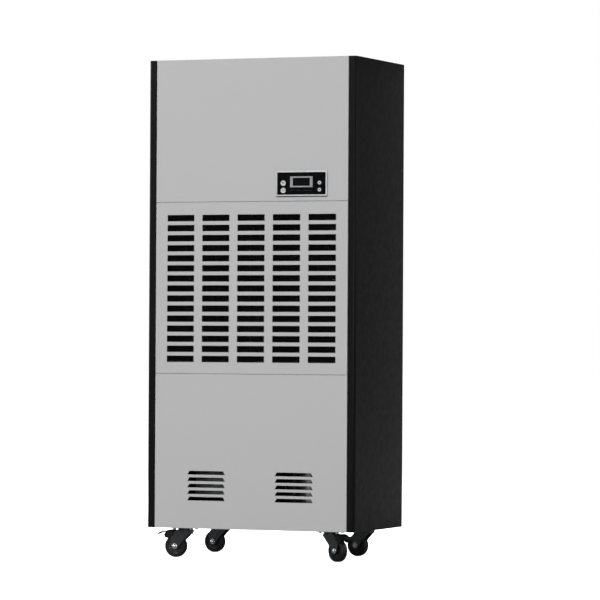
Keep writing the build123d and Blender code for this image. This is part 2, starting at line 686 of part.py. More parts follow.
def blower_housing():
    """Scroll housing with an inlet on each side, open at the top."""
    wrap = extrude(scroll_face(HOUSING_SHEET) - scroll_face(0), 2 * HOUSING_HALF)
    housing = in_fan_plane(wrap, -HOUSING_HALF)
    cheek = extrude(scroll_face(HOUSING_SHEET), HOUSING_SHEET) - Cylinder(INLET_RADIUS, 10)
    lip = Cylinder(INLET_RADIUS + 2, 8) - Cylinder(INLET_RADIUS, 9)
    for x in (-HOUSING_HALF - HOUSING_SHEET, HOUSING_HALF):
        housing += in_fan_plane(cheek, x)
    housing += in_fan_plane(lip, 3 - HOUSING_HALF)
    housing += in_fan_plane(lip, HOUSING_HALF - 3)
    return housing


def impeller():
    """Double-inlet wheel with forward-curved blades, centre disc, end rings and shaft."""
    inner, outer = IMPELLER_INNER + 1.5, IMPELLER_RADIUS - 2.5
    blade = make_face(
        Curve()
        + [
            ThreePointArc((inner, 0), (103, 3.5), (outer, 14)),
            Line((outer, 14), (outer - 1.2, 14.8)),
            ThreePointArc((outer - 1.2, 14.8), (102, 4.9), (inner, 1.4)),
            Line((inner, 1.4), (inner, 0)),
        ]
    )
    blades = [Rot(0, 0, 360 / BLADES * i) * blade for i in range(BLADES)]
    wheel = extrude(Sketch() + blades, 2 * IMPELLER_HALF)
    disc = Cylinder(IMPELLER_RADIUS, 3)
    ring = Cylinder(IMPELLER_RADIUS, 3) - Cylinder(IMPELLER_INNER, 4)
    hub = Cylinder(22, 50)
    shaft = Pos(0, 0, 85) * Cylinder(8, 210)
    wheel = Pos(0, 0, -IMPELLER_HALF) * wheel + disc + hub + shaft
    for z in (-IMPELLER_HALF + 1.5, IMPELLER_HALF - 1.5):
        wheel += Pos(0, 0, z) * ring
    return in_fan_plane(wheel, 0)


MOTOR_X, MOTOR_LENGTH, MOTOR_RADIUS = 158.0, 112.0, 60.0


def fan_motor():
    """Motor on the right-hand side of the blower."""
    body = rod((MOTOR_X, FAN_Y, FAN_Z), "x", MOTOR_LENGTH, MOTOR_RADIUS)
    body = fillet(body.edges().filter_by(GeomType.CIRCLE), 10.0)
    body += rod((MOTOR_X - 6, FAN_Y, FAN_Z), "x", 12, 20)
    return body - rod((MOTOR_X - 10, FAN_Y, FAN_Z), "x", 60, 8.0 + RUNNING_CLEARANCE)


def motor_bracket():
    """Band round the motor with three arms to the housing's cheek."""
    band = tube((MOTOR_X + 30, FAN_Y, FAN_Z), "x", 30, MOTOR_RADIUS + 2, MOTOR_RADIUS)
    start = HOUSING_HALF + HOUSING_SHEET
    for angle in (90, 210, 330):
        arm = Pos((start + MOTOR_X + 60) / 2, FAN_Y, FAN_Z) * Rot(angle, 0, 0)
        band += arm * Pos(0, MOTOR_RADIUS + 21, 0) * Box(MOTOR_X + 60 - start, 4, 24)
        band += (
            Pos(MOTOR_X + 58, FAN_Y, FAN_Z) * Rot(angle, 0, 0)
            * Pos(0, MOTOR_RADIUS + 11.5, 0) * Box(4, 20, 24)
        )
        band += (
            Pos(start + 2, FAN_Y, FAN_Z) * Rot(angle, 0, 0)
            * Pos(0, MOTOR_RADIUS + 49, 0) * Box(4, 20, 24)
        )
        band += (
            Pos(start + 2, FAN_Y, FAN_Z) * Rot(angle, 0, 0)
            * Pos(0, MOTOR_RADIUS + 35, 0) * Box(4, 30, 24)
        )
    return band - rod((MOTOR_X, FAN_Y, FAN_Z), "x", 90, MOTOR_RADIUS)


def blower_brackets():
    """Motor bracket, and two folded stands between the fan deck and the scroll."""
    z0 = FAN_DECK_Z + DECK_SHEET
    stands = [motor_bracket()]
    for side in (-1, 1):
        x = side * (HOUSING_HALF + HOUSING_SHEET + 1)
        upright = block(x - 1, x + 1, depth(150), depth(210), z0, 1300)
        foot_x = side * (HOUSING_HALF + HOUSING_SHEET + 16)
        foot = block(
            min(x, foot_x), max(x, foot_x), depth(150), depth(210), z0, z0 + 2
        )
        stands.append(upright + foot)
    return Compound(stands)


# ---------------------------------------------------------------- electrics, drain, gland
BOX_LEFT, BOX_RIGHT, BOX_BOTTOM, BOX_TOP = -330.0, -90.0, 190.0, 490.0


def electrical_box():
    """Galvanised box on the rear wall of the compressor bay."""
    return tray(
        BOX_LEFT, BOX_RIGHT, depth(312), depth(432), BOX_BOTTOM, BOX_TOP, SHEET, "front"
    )


def box_cover():
    """Lid of the electrical box, with turned edges."""
    return tray(
        BOX_LEFT - 2, BOX_RIGHT + 2, depth(308), depth(326),
        BOX_BOTTOM - 2, BOX_TOP + 2, SHEET, "back",
    )


def contactor():
    """Contactor and terminal strip on the box's rear wall."""
    y1 = depth(432 - SHEET)
    body = block(-300, -240, y1 - 70, y1, 380, 450) + block(-294, -246, y1 - 78, y1 - 70, 392, 438)
    strip = block(-220, -110, y1 - 30, y1, 240, 275)
    for i in range(8):
        x = -213 + i * 13.4
        strip -= rod((x + 3, y1 - 31, 264), "y", 6, 3.2)
        strip -= block(x - 1, x + 7, y1 - 31, y1 - 22, 239, 250)
    return Compound([body, strip])


def drain_spigot():
    """Bulkhead spigot for the drain hose, through the rear panel."""
    outside = rod((SPIGOT_X, depth(DEPTH), SPIGOT_Z), "y", REAR_REACH, SPIGOT_RADIUS)
    flange = rod((SPIGOT_X, depth(DEPTH), SPIGOT_Z), "y", 4, 17)
    inside = rod((SPIGOT_X, depth(DEPTH - 30), SPIGOT_Z), "y", 30, SPIGOT_RADIUS)
    nut = hexagon((SPIGOT_X, depth(DEPTH - SHEET - 6.2), SPIGOT_Z), "y", 6, 28)
    bore = rod((SPIGOT_X, depth(DEPTH - 31), SPIGOT_Z), "y", 32 + REAR_REACH, SPIGOT_BORE)
    return outside + flange + inside + nut - bore


def drain_hose():
    """Hose from the tray's spout to the spigot."""
    path_points = [
        (DRAIN_X, DRAIN_Y, 616),
        (DRAIN_X, DRAIN_Y, 520),
        (310, depth(340), 440),
        (312, depth(372), 260),
        (SPIGOT_X, depth(378), SPIGOT_Z),
        (SPIGOT_X, depth(DEPTH - 12), SPIGOT_Z),
    ]
    return pipe(path_points, 11.5, 30.0, 2.5)


def cable_gland():
    """Cable gland with its clamping nut and lock nut, bored for the mains cable."""
    thread = rod((GLAND_X, depth(DEPTH - 12), GLAND_Z), "y", 12, GLAND_THREAD)
    collar = hexagon((GLAND_X, depth(DEPTH), GLAND_Z), "y", 7, 30)
    nut = rod((GLAND_X, depth(DEPTH + 7), GLAND_Z), "y", 19, 14.5)
    nut = fillet(nut.edges().sort_by(Axis.Y)[-1], 5.0)
    bore = rod((GLAND_X, depth(DEPTH - 13), GLAND_Z), "y", 50, GLAND_BORE)
    locknut = hexagon((GLAND_X, depth(DEPTH - SHEET - 5), GLAND_Z), "y", 5, 32)
    locknut -= rod((GLAND_X, depth(DEPTH - 10), GLAND_Z), "y", 12, GLAND_THREAD + 0.05)
    return Compound([thread + collar + nut - bore, locknut])


# ---------------------------------------------------------------- casters
def caster_place(name):
    side, end, angle, _ = CASTERS[name]
    inset = FRONT_INSET if end < 0 else DEPTH - REAR_INSET
    return side * CASTER_X, depth(inset), angle


def placed(name, shape):
    """Puts a shape drawn round its own swivel axis, trailing to +X, in its place."""
    x, y, angle = caster_place(name)
    return Pos(x, y, 0) * Rot(0, 0, angle) * shape


def caster_bolt_places():
    for name in CASTERS:
        x, y, _ = caster_place(name)
        for dx in (-BOLT_DX, BOLT_DX):
            for dy in (-BOLT_DY, BOLT_DY):
                yield x + dx, y + dy


def caster_plates():
    """Top plates with their upper race and kingpin, one solid per caster."""
    plates = []
    under = CASTER_HEIGHT - PLATE_SHEET
    for name in CASTERS:
        x, y, _ = caster_place(name)
        plate = block(
            x - PLATE_LENGTH / 2, x + PLATE_LENGTH / 2,
            y - PLATE_WIDTH / 2, y + PLATE_WIDTH / 2, under, CASTER_HEIGHT,
        )
        plate = fillet(plate.edges().filter_by(Axis.Z), 6.0)
        race = rod((x, y, under - 5), "z", 5, 25)
        race = fillet(race.edges().sort_by(Axis.Z)[0], 2.5)
        pin = rod((x, y, 84.0), "z", 14, KINGPIN_RADIUS)
        rivet = rod((x, y, 82.5), "z", 4.7, 9.5)
        plate += race + pin + rivet
        for dx in (-BOLT_DX, BOLT_DX):
            for dy in (-BOLT_DY, BOLT_DY):
                plate -= rod((x + dx, y + dy, under - 1), "z", 6, BOLT_RADIUS + 0.2)
        plates.append(plate)
    return Compound(plates)


def caster_bolts():
    """Four bolts and nuts for each caster."""
    under = CASTER_HEIGHT - PLATE_SHEET
    bolts = []
    for x, y in caster_bolt_places():
        shank = rod((x, y, under), "z", 14, BOLT_RADIUS)
        head = hexagon((x, y, under - 4), "z", 4, 10)
        nut = hexagon((x, y, BOTTOM + DECK_SHEET), "z", 5, 10)
        bolts.append(shank + head + nut)
    return Compound(bolts)


def fork_leg(has_brake):
    """Side outline of a fork leg, in (s, z), from the head down to the axle."""
    outline = [
        (-23, 91.5), (-24, 84), (2, 58), (22, 33), (27, 27), (39, 27), (45, 33),
        (49, 52), (46, 70), (34, 84), (26, 91.5),
    ]
    leg = make_face(Polyline(*outline, close=True))
    if has_brake:
        ear = [(20, 82), (20, 60), (40, 60), (50, 72), (50, 80), (46, 82)]
        leg += make_face(Polyline(*ear, close=True))
        leg -= Pos(PEDAL_PIVOT_S, PEDAL_PIVOT_Z) * Circle(PEDAL_PIN_RADIUS)
    return leg - Pos(TRAIL, WHEEL_RADIUS) * Circle(AXLE_RADIUS + 0.02)


def fork(name):
    """Pressed fork, axle bolt with its nut, and the pedal's pin on a braked caster."""
    has_brake = CASTERS[name][3]
    head = rod((0, 0, 88), "z", 3.7, FORK_HEAD_RADIUS)
    head -= rod((0, 0, 80), "z", 20, KINGPIN_RADIUS + RUNNING_CLEARANCE)
    leg = Rot(90, 0, 0) * extrude(fork_leg(has_brake), FORK_SHEET)
    body = head
    for t in (-FORK_INNER, FORK_INNER + FORK_SHEET):
        body += Pos(0, t, 0) * leg
    body += block(-24, -21.5, -FORK_INNER - 1, FORK_INNER + 1, 78, 91.7) & rod(
        (0, 0, 70), "z", 30, FORK_HEAD_RADIUS
    )
    outer = FORK_INNER + FORK_SHEET
    axle = rod((TRAIL, -outer, WHEEL_RADIUS), "y", 2 * outer, AXLE_RADIUS)
    bolt_head = hexagon((TRAIL, -outer - 4, WHEEL_RADIUS), "y", 4, 11)
    nut = hexagon((TRAIL, outer, WHEEL_RADIUS), "y", 4.5, 11)
    solids = [body, axle + bolt_head + nut]
    if has_brake:
        pin_half = PEDAL_HALF + 1.5
        pin = rod(
            (PEDAL_PIVOT_S, -pin_half, PEDAL_PIVOT_Z), "y", 2 * pin_half, PEDAL_PIN_RADIUS
        )
        solids.append(pin)
    return placed(name, Compound(solids))


def wheel(name):
    """Tread and hub of one wheel, two solids, about its axle."""
    side = Rot(-90, 0, 0)
    tread = Cylinder(WHEEL_RADIUS, 2 * WHEEL_HALF)
    tread = fillet(tread.edges().filter_by(GeomType.CIRCLE), 4.5)
    tread -= Cylinder(HUB_RADIUS, 40)
    hub = Cylinder(HUB_RADIUS, 2 * WHEEL_HALF - 1)
    dish = Cylinder(HUB_RADIUS - 3, 10) - Cylinder(10, 10)
    for z in (-WHEEL_HALF - 1.5, WHEEL_HALF + 1.5):
        hub -= Pos(0, 0, z) * dish
    hub += Cylinder(9, 2 * FORK_INNER - 0.6)
    hub -= Cylinder(AXLE_RADIUS + RUNNING_CLEARANCE, 60)
    place = Pos(TRAIL, 0, WHEEL_RADIUS) * side
    return placed(name, Compound([place * tread, place * hub]))


def brake_pedal(name):
    """Foot pedal: a pressed cover astride the fork, its tongue and the brake shoe."""
    top_line = [(38, 90), (46, 92), (56, 90), (68, 85.5), (84, 84), (92, 81.5), (97, 77.5)]
    under_line = [
        (96, 74.5), (92, 76.5), (84, 79.8), (78, 82.0 - PEDAL_SHEET / 2),
        (68, 85.5 - PEDAL_SHEET), (56, 90 - PEDAL_SHEET), (46, 92 - PEDAL_SHEET), (38, 90 - PEDAL_SHEET),
    ]
    plate_side = make_face(Polyline(*top_line, *under_line, close=True))
    plate = Pos(0, PEDAL_HALF, 0) * Rot(90, 0, 0) * extrude(plate_side, 2 * PEDAL_HALF)
    tongue = make_face(
        Polyline(
            (20, PEDAL_HALF), (62, PEDAL_HALF), (72, 12), (91, 11), (96, 7), (98, 0),
            (96, -7), (91, -11), (72, -12), (62, -PEDAL_HALF), (20, -PEDAL_HALF),
            close=True,
        )
    )
    plate &= Pos(0, 0, 60) * extrude(tongue, 40)
    skirt = make_face(
        Polyline(
            (38, 89), (46, 91), (56, 89), (62, 86.5), (70, 76), (67, 66), (56, 63), (46, 68), (38, 73),
            close=True,
        )
    )
    skirt -= Pos(PEDAL_PIVOT_S, PEDAL_PIVOT_Z) * Circle(PEDAL_PIN_RADIUS + RUNNING_CLEARANCE)
    side = Rot(90, 0, 0) * extrude(skirt, PEDAL_SHEET)
    pedal = plate
    for t in (-PEDAL_HALF + PEDAL_SHEET, PEDAL_HALF):
        pedal += Pos(0, t, 0) * side
    return placed(name, pedal + block(52, 59, -9, 9, 72.5, 88.5))


# ---------------------------------------------------------------- every node, by name
def all_parts():
    parts = {
        "left_side_panel": side_panel(-1),
        "right_side_panel": side_panel(1),
        "top_panel": top_panel(),
        "outlet_grille": outlet_grille(),
        "base_pan": base_pan(),
        "back_panel": back_panel(),
        "back_panel_screws": back_screws(),
        "upper_front_panel": upper_front_panel(),
        "grille_panel": grille_panel(),
        "lower_front_panel": lower_front_panel(),
        "filter_frame": filter_frame(),
        "filter_mesh": filter_mesh(),
        "control_bezel": control_bezel(),
        "control_face": control_face(),
        "display_frame": display_frame(),
        "display_window": display_window(),
        "control_board": control_board(),
        "cross_rails": cross_rails(),
        "coil_shelf": coil_shelf(),
        "fan_deck": fan_deck(),
        "drip_tray": drip_tray(),
        "evaporator_fins": fins(EVAPORATOR_Y),
        "evaporator_tubes": serpentine(EVAPORATOR_Y),
        "condenser_fins": fins(CONDENSER_Y),
        "condenser_tubes": serpentine(CONDENSER_Y),
        "coil_end_plates": end_plates(),
        "compressor": compressor(),
        "compressor_grommets": compressor_grommets(),
        "compressor_bolts": foot_bolts(),
        "accumulator": accumulator(),
        "discharge_pipe": discharge_pipe(),
        "suction_pipe": suction_pipe(),
        "filter_drier": filter_drier(),
        "liquid_pipe": liquid_pipe(),
        "blower_housing": blower_housing(),
        "impeller": impeller(),
        "fan_motor": fan_motor(),
        "blower_brackets": blower_brackets(),
        "electrical_box": electrical_box(),
        "electrical_box_cover": box_cover(),
        "contactor": contactor(),
        "drain_spigot": drain_spigot(),
        "drain_hose": drain_hose(),
        "cable_gland": cable_gland(),
        "caster_plates": caster_plates(),
        "caster_bolts": caster_bolts(),
    }
    for name in BUTTONS:
        parts[name] = button(name)
    for name, (_, _, _, has_brake) in CASTERS.items():
        parts[f"fork_{name}"] = fork(name)
        parts[f"wheel_{name}"] = wheel(name)
        if has_brake:
            parts[f"brake_pedal_{name}"] = brake_pedal(name)
    return parts


os.makedirs("parts", exist_ok=True)
for node, shape in all_parts().items():
    export_step(shape, f"parts/{node}.step")
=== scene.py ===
"""Looks of the commercial dehumidifier: materials, fine geometry, studio and camera.

Metres, in the model's own frame: +Z up, the front faces -Y, the origin is on the floor.
"""

import json
import math

import bmesh
import bpy
from mathutils import Matrix, Vector


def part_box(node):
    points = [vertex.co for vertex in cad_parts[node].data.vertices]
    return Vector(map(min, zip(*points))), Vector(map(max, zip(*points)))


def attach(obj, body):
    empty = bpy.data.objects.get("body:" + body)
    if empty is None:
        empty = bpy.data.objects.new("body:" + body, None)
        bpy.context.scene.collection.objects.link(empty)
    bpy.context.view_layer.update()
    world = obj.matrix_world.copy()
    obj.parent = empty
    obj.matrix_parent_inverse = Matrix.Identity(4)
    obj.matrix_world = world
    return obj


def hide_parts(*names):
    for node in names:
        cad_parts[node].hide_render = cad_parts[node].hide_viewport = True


MM = 0.001

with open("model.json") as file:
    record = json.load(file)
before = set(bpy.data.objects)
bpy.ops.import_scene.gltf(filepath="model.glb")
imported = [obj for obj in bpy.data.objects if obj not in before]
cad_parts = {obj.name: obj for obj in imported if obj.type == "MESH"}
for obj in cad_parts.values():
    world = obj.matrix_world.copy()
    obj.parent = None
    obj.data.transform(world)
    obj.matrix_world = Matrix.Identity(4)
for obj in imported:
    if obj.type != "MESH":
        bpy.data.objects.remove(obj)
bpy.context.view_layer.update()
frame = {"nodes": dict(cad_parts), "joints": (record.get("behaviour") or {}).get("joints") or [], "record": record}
nodes = frame["nodes"]
scene = bpy.context.scene


# ---------------------------------------------------------------- mesh helpers
def new_object(name, mesh, body, material):
    """Links a mesh as a piece that rides on a body and takes a material."""
    piece = bpy.data.objects.new(name, mesh)
    scene.collection.objects.link(piece)
    mesh.materials.append(material)
    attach(piece, body)
    return piece


def from_bmesh(name, shape, smooth_angle=35.0):
    """Turns a bmesh into a mesh, smooth except across edges sharper than the angle."""
    bmesh.ops.remove_doubles(shape, verts=shape.verts, dist=1e-6)
    bmesh.ops.recalc_face_normals(shape, faces=shape.faces)
    for face in shape.faces:
        face.smooth = True
    for edge in shape.edges:
        if len(edge.link_faces) == 2 and edge.calc_face_angle() > math.radians(smooth_angle):
            edge.smooth = False
    mesh = bpy.data.meshes.new(name)
    shape.to_mesh(mesh)
    shape.free()
    return mesh


def add_block(shape, low, high):
    """Adds a box between two corners to a bmesh."""
    size = Vector(high) - Vector(low)
    matrix = Matrix.Translation((Vector(low) + Vector(high)) / 2) @ Matrix.Diagonal((*size, 1.0))
    return bmesh.ops.create_cube(shape, size=1.0, matrix=matrix)["verts"]


def lathe(shape, profile, segments, place):
    """Adds the closed (radius, height) profile turned about Z, then moved by a matrix."""
    rings = []
    for i in range(segments):
        angle = 2 * math.pi * i / segments
        turn = (math.cos(angle), math.sin(angle))
        rings.append(
            [shape.verts.new(place @ Vector((r * turn[0], r * turn[1], z))) for r, z in profile]
        )
    count = len(profile)
    for i in range(segments):
        here, there = rings[i], rings[(i + 1) % segments]
        for j in range(count):
            k = (j + 1) % count
            shape.faces.new((here[j], there[j], there[k], here[k]))


def bevel_cad(name, width=0.4, segments=2, angle=40.0):
    """Softens a CAD node's sharp edges with modifiers only."""
    piece = nodes[name]
    weld = piece.modifiers.new("weld", "WELD")
    weld.merge_threshold = 1e-5
    bevel = piece.modifiers.new("bevel", "BEVEL")
    bevel.width = width * MM
    bevel.segments = segments
    bevel.limit_method = "ANGLE"
    bevel.angle_limit = math.radians(angle)
    bevel.use_clamp_overlap = True
    bevel.harden_normals = True


# ---------------------------------------------------------------- material helper
class Surface:
    """One procedural material, built up layer by layer on a Principled shader."""

    def __init__(self, name, colour, roughness, metallic=0.0, specular=0.5):
        self.material = bpy.data.materials.new(name)
        self.material.use_nodes = True
        self.tree = self.material.node_tree
        self.shader = self.tree.nodes["Principled BSDF"]
        self.shader.inputs["Base Color"].default_value = (*colour, 1.0)
        self.shader.inputs["Roughness"].default_value = roughness
        self.shader.inputs["Metallic"].default_value = metallic
        self.shader.inputs["Specular IOR Level"].default_value = specular
        self.colour = (*colour, 1.0)
        self.roughness = roughness
        self.place = self.tree.nodes.new("ShaderNodeTexCoord").outputs["Object"]
        self.colour_out = None
        self.normal_out = None

    def link(self, out, socket):
        self.tree.links.new(out, socket)

    def scaled(self, scale):
        """Object coordinates stretched by (x, y, z)."""
        node = self.tree.nodes.new("ShaderNodeMapping")
        node.inputs["Scale"].default_value = scale
        self.link(self.place, node.inputs["Vector"])
        return node.outputs["Vector"]

    def noise(self, scale, detail=4.0, stretch=(1.0, 1.0, 1.0)):
        node = self.tree.nodes.new("ShaderNodeTexNoise")
        node.inputs["Scale"].default_value = scale
        node.inputs["Detail"].default_value = detail
        self.link(self.scaled(stretch), node.inputs["Vector"])
        return node.outputs["Fac"]

    def cells(self, scale):
        node = self.tree.nodes.new("ShaderNodeTexVoronoi")
        node.inputs["Scale"].default_value = scale
        self.link(self.scaled((1.0, 1.0, 1.0)), node.inputs["Vector"])
        return node.outputs["Distance"]

    def remap(self, value, low, high, to_low, to_high):
        node = self.tree.nodes.new("ShaderNodeMapRange")
        self.link(value, node.inputs["Value"])
        node.inputs["From Min"].default_value = low
        node.inputs["From Max"].default_value = high
        node.inputs["To Min"].default_value = to_low
        node.inputs["To Max"].default_value = to_high
        return node.outputs["Result"]

    def mix(self, factor, colour):
        """Mixes a colour over what is there, by a factor output."""
        node = self.tree.nodes.new("ShaderNodeMix")
        node.data_type = "RGBA"
        self.link(factor, node.inputs["Factor"])
        if self.colour_out is None:
            node.inputs["A"].default_value = self.colour
        else:
            self.link(self.colour_out, node.inputs["A"])
        node.inputs["B"].default_value = (*colour, 1.0)
        self.colour_out = node.outputs["Result"]
        self.link(self.colour_out, self.shader.inputs["Base Color"])

    def tint(self, scale, amount, colour, stretch=(1.0, 1.0, 1.0)):
        """Soft patches of another colour."""
        patches = self.remap(self.noise(scale, 3.0, stretch), 0.35, 0.75, 0.0, amount)
        self.mix(patches, colour)

    def gloss(self, scale, spread, stretch=(1.0, 1.0, 1.0)):
        """Roughness that varies about its mean."""
        value = self.remap(
            self.noise(scale, 5.0, stretch), 0.3, 0.7, self.roughness - spread, self.roughness + spread
        )
        self.link(value, self.shader.inputs["Roughness"])

    def bump(self, value, strength, depth_mm):
        node = self.tree.nodes.new("ShaderNodeBump")
        node.inputs["Strength"].default_value = strength
        node.inputs["Distance"].default_value = depth_mm * MM
        self.link(value, node.inputs["Height"])
        if self.normal_out is not None:
            self.link(self.normal_out, node.inputs["Normal"])
        self.normal_out = node.outputs["Normal"]
        self.link(self.normal_out, self.shader.inputs["Normal"])

    def wear_and_edge_highlight(self, radius_mm, amount, colour):
        """A paler line along edges, broken up by noise: rubbed paint, and also a painted edge highlight."""
        tree = self.tree
        bevel = tree.nodes.new("ShaderNodeBevel")
        bevel.inputs["Radius"].default_value = radius_mm * MM
        bevel.samples = 4
        normal = tree.nodes.new("ShaderNodeNewGeometry").outputs["Normal"]
        dot = tree.nodes.new("ShaderNodeVectorMath")
        dot.operation = "DOT_PRODUCT"
        self.link(bevel.outputs["Normal"], dot.inputs[0])
        self.link(normal, dot.inputs[1])
        edge = self.remap(dot.outputs["Value"], 0.98, 0.8, 0.0, 1.0)
        broken = self.remap(self.noise(160.0, 4.0), 0.45, 0.62, 0.0, amount)
        both = tree.nodes.new("ShaderNodeMath")
        both.operation = "MULTIPLY"
        self.link(edge, both.inputs[0])
        self.link(broken, both.inputs[1])
        self.mix(both.outputs["Value"], colour)


# ---------------------------------------------------------------- materials
def powder_coat(name, colour, roughness, specular, edge_wear_and_highlight, grain):
    """Fine orange-peel powder coat over folded sheet."""
    coat = Surface(name, colour, roughness, specular=specular)
    coat.tint(2.2, 0.25, [c * 0.94 for c in colour])
    coat.tint(38.0, 0.18, [c * 1.05 for c in colour])
    coat.gloss(55.0, 0.05)
    coat.bump(coat.noise(900.0, 2.0), grain, 0.05)
    coat.bump(coat.noise(170.0, 2.0), grain * 0.8, 0.08)
    # Paler edges: rubbed paint, and also a painted edge highlight.
    coat.wear_and_edge_highlight(0.8, 0.35, edge_wear_and_highlight)
    return coat.material


def galvanised_sheet(name):
    """Zinc spangle: large crystal cells with slightly different greys."""
    zinc = Surface(name, (0.42, 0.43, 0.44), 0.38, metallic=0.9)
    zinc.mix(zinc.remap(zinc.cells(70.0), 0.1, 0.7, 0.0, 0.6), (0.56, 0.57, 0.58))
    zinc.tint(6.0, 0.4, (0.33, 0.34, 0.35))
    zinc.gloss(80.0, 0.1)
    zinc.bump(zinc.noise(240.0), 0.08, 0.05)
    return zinc.material


def moulded_plastic(name, colour, roughness, grain=0.25, specular=0.5):
    """Spark-eroded mould texture."""
    plastic = Surface(name, colour, roughness, specular=specular)
    plastic.tint(30.0, 0.3, [c * 0.8 + 0.004 for c in colour])
    plastic.gloss(120.0, 0.06)
    plastic.bump(plastic.noise(1400.0, 3.0), grain, 0.04)
    # Paler edges: rubbed plastic, and also a painted edge highlight.
    plastic.wear_and_edge_highlight(0.5, 0.3, [min(1.0, c * 1.3 + 0.03) for c in colour])
    return plastic.material


def rubber(name, colour, roughness, specular=0.35):
    """Dull rubber, dusty in patches."""
    skin = Surface(name, colour, roughness, specular=specular)
    skin.tint(45.0, 0.45, [c * 2.2 for c in colour])
    skin.gloss(90.0, 0.07)
    skin.bump(skin.noise(700.0, 4.0), 0.25, 0.06)
    return skin.material


def metal(name, colour, roughness, stretch=(1.0, 1.0, 1.0), grain=400.0, dirt=(0.2, 0.2, 0.2)):
    """Plated or bare metal with a directional grain and slight tarnish."""
    plate = Surface(name, colour, roughness, metallic=1.0)
    plate.tint(25.0, 0.35, [c * 0.7 for c in colour])
    plate.tint(90.0, 0.15, dirt)
    plate.gloss(grain * 0.4, 0.08, stretch)
    plate.bump(plate.noise(grain, 3.0, stretch), 0.12, 0.03)
    return plate.material


def clear_window(name):
    """Smoked window of the display, with fine scratches."""
    pane = Surface(name, (0.0015, 0.0025, 0.003), 0.14, specular=0.08)
    pane.tint(60.0, 0.3, (0.003, 0.005, 0.006))
    pane.gloss(300.0, 0.03, (1.0, 1.0, 8.0))
    return pane.material


MATERIALS = {
    "black_coat": powder_coat(
        "black_coat", (0.0042, 0.0042, 0.0044), 0.42, 0.075, (0.03, 0.03, 0.03), 0.3
    ),
    "grey_coat": powder_coat("grey_coat", (0.42, 0.42, 0.42), 0.5, 0.3, (0.6, 0.6, 0.6), 0.2),
    "galvanised": galvanised_sheet("galvanised"),
    "fasteners": metal("fasteners", (0.62, 0.62, 0.6), 0.25),
    "black_plastic": moulded_plastic("black_plastic", (0.008, 0.008, 0.009), 0.45),
    "mesh": rubber("mesh", (0.0015, 0.0015, 0.0015), 0.9, 0.05),
    "silver_plastic": metal("silver_plastic", (0.52, 0.53, 0.54), 0.4),
    "display": clear_window("display"),
    "board": moulded_plastic("board", (0.02, 0.1, 0.04), 0.35),
    "button_plastic": moulded_plastic("button_plastic", (0.5, 0.51, 0.53), 0.42),
    "white_plastic": moulded_plastic("white_plastic", (0.66, 0.66, 0.63), 0.4),
    "fin_stock": metal("fin_stock", (0.72, 0.73, 0.74), 0.3, (1.0, 1.0, 0.15)),
    "copper": metal("copper", (0.72, 0.36, 0.22), 0.28, dirt=(0.3, 0.14, 0.07)),
    "compressor_paint": powder_coat(
        "compressor_paint", (0.01, 0.01, 0.011), 0.25, 0.5, (0.06, 0.06, 0.06), 0.1
    ),
    "rubber": rubber("rubber", (0.01, 0.01, 0.01), 0.7),
    "impeller_steel": galvanised_sheet("impeller_steel"),
    "caster_plate_coat": powder_coat(
        "caster_plate_coat", (0.011, 0.014, 0.017), 0.3, 0.55, (0.1, 0.115, 0.13), 0.15
    ),
    "wheel_rubber": rubber("wheel_rubber", (0.0025, 0.0025, 0.0028), 0.5, 0.25),
    "pedal_plastic": moulded_plastic("pedal_plastic", (0.004, 0.0045, 0.0045), 0.6, specular=0.2),
}
HUB = moulded_plastic("hub_plastic", (0.004, 0.0045, 0.005), 0.38, specular=0.3)
FACE = moulded_plastic("face_plastic", (0.0012, 0.0012, 0.0014), 0.3, grain=0.08, specular=0.05)
SURROUND = metal("display_surround", (0.28, 0.295, 0.3), 0.42)
ZINC = metal("bright_zinc", (0.68, 0.74, 0.8), 0.22)
DARK_INK = moulded_plastic("dark_ink", (0.006, 0.006, 0.007), 0.5, grain=0.05, specular=0.2)
PALE_INK = moulded_plastic("pale_ink", (0.045, 0.046, 0.05), 0.5, grain=0.05, specular=0.2)
GHOST = moulded_plastic("ghost_segment", (0.005, 0.007, 0.008), 0.4, grain=0.02, specular=0.08)


def dress_cad_nodes():
    """Gives every CAD node the material of its slot in the record."""
    for subpart in frame["record"]["subparts"]:
        piece = nodes[subpart["node"]]
        piece.data.materials.clear()
        piece.data.materials.append(MATERIALS[subpart["material_slot"]])
    nodes["control_face"].data.materials[0] = FACE
    nodes["display_frame"].data.materials[0] = SURROUND


dress_cad_nodes()
EDGES = {
    "left_side_panel": 0.35, "right_side_panel": 0.35, "top_panel": 0.3, "back_panel": 0.3,
    "upper_front_panel": 0.3, "grille_panel": 0.3, "lower_front_panel": 0.3,
    "control_bezel": 0.25, "control_face": 0.2, "display_frame": 0.15, "outlet_grille": 0.25,
    "base_pan": 0.4, "cable_gland": 0.5, "drain_spigot": 0.4, "electrical_box_cover": 0.4,
    "caster_plates": 0.5, "caster_bolts": 0.4, "filter_frame": 0.4,
}
for side in ("front_left", "front_right", "rear_left", "rear_right"):
    EDGES[f"fork_{side}"] = 0.5
for side in ("front_left", "front_right"):
    EDGES[f"brake_pedal_{side}"] = 0.45
for node, width in EDGES.items():
    bevel_cad(node, width)


# ---------------------------------------------------------------- detail helpers
def soften(piece, width_mm, segments=2, angle=35.0):
    """Bevels a piece's sharp edges."""
    bevel = piece.modifiers.new("bevel", "BEVEL")
    bevel.width = width_mm * MM
    bevel.segments = segments
    bevel.limit_method = "ANGLE"
    bevel.angle_limit = math.radians(angle)
    bevel.use_clamp_overlap = True


def mm(*values):
    return Vector(values) * MM


def mirrored(half):
    """A closed (radius, height) profile from its lower half, in millimetres."""
    return [(r * MM, h * MM) for r, h in half + [(r, -h) for r, h in reversed(half)]]


def placed_block(shape, low, high, place):
    """A box between two corners in millimetres, then moved by a matrix."""
    bmesh.ops.transform(shape, matrix=place, verts=add_block(shape, mm(*low), mm(*high)))


def millimetre_profile(points):
    return [(r * MM, h * MM) for r, h in points]


